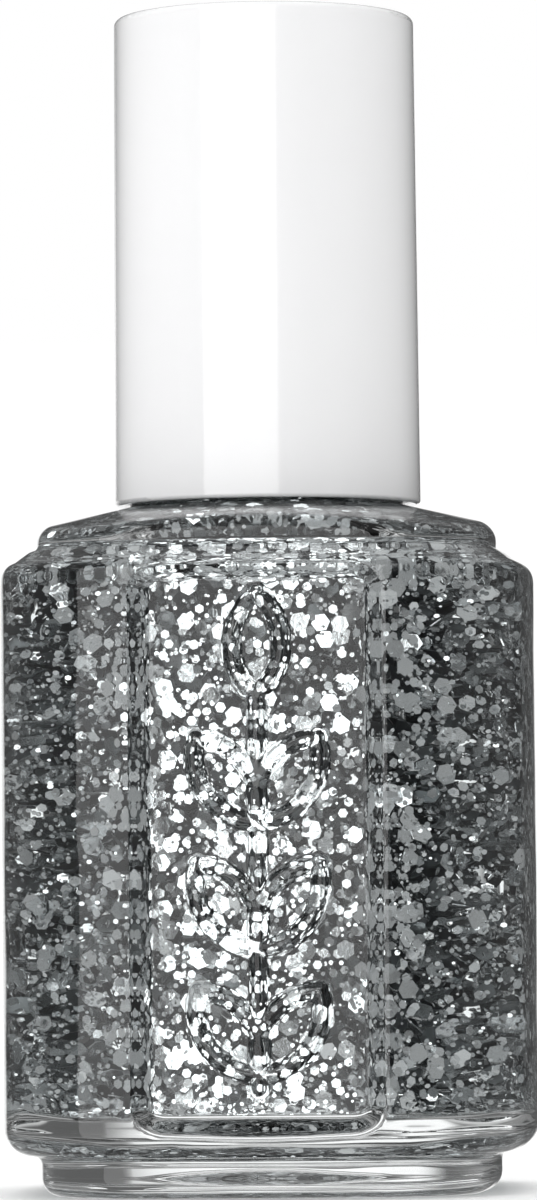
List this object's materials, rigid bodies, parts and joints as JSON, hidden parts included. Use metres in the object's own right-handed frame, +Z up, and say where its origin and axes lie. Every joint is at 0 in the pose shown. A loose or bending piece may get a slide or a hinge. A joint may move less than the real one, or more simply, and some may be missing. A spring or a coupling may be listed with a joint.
{
  "type": "nail polish bottle",
  "caption": "Square glass nail polish bottle with stepped tiers and a sunk leaf panel, glitter lacquer and a white screw cap that carries the brush.",
  "frame": {"origin": "centre of the bottle's underside, on its axis", "axes": "+Z up the bottle's axis; the front face with its panel looks along -Y; +X is to the right seen from the front"},
  "size_m": [0.0318, 0.0318, 0.0703],
  "materials": {
    "glass": "clear polished moulded glass",
    "lacquer": "clear lacquer dense with silver hexagonal glitter",
    "glitter": "silver metallised film flakes",
    "steel": "polished steel",
    "cap_white": "glossy white moulded plastic",
    "inner_cap_plastic": "satin white polypropylene",
    "foam": "soft closed-cell foam",
    "film": "thin clear barrier film",
    "stem_plastic": "smooth white plastic",
    "bristle": "black nylon bristles",
    "staple_wire": "brass strip"
  },
  "bodies": {
    "bottle": {"glass_bottle": "glass", "polish_fill": "lacquer", "mixing_ball_front": "steel", "mixing_ball_back": "steel"},
    "seal_facing": {"liner_film": "film"},
    "seal_backing": {"liner_foam": "foam"},
    "cap": {"outer_cap": "cap_white", "inner_cap": "inner_cap_plastic", "brush_stem": "stem_plastic", "bristle_tuft": "bristle", "bristle_staple": "staple_wire"}
  },
  "joints": [
    {"name": "brush_lift", "type": "slide", "parent": "bottle", "child": "seal_facing", "axis": [0, 0, 1], "range_m": [0, 0.05]},
    {"name": "thread_rise", "type": "slide", "parent": "seal_facing", "child": "seal_backing", "axis": [0, 0, 1], "range_m": [0, 0.00265]},
    {"name": "cap_turn", "type": "hinge", "parent": "seal_backing", "child": "cap", "pos_m": [0, 0, 0.047], "axis": [0, 0, 1], "range_deg": [0, 450]}
  ],
  "couplings": [
    {"joint": "thread_rise", "follows": "cap_turn", "m_per_rad": 0.00033693}
  ]
}
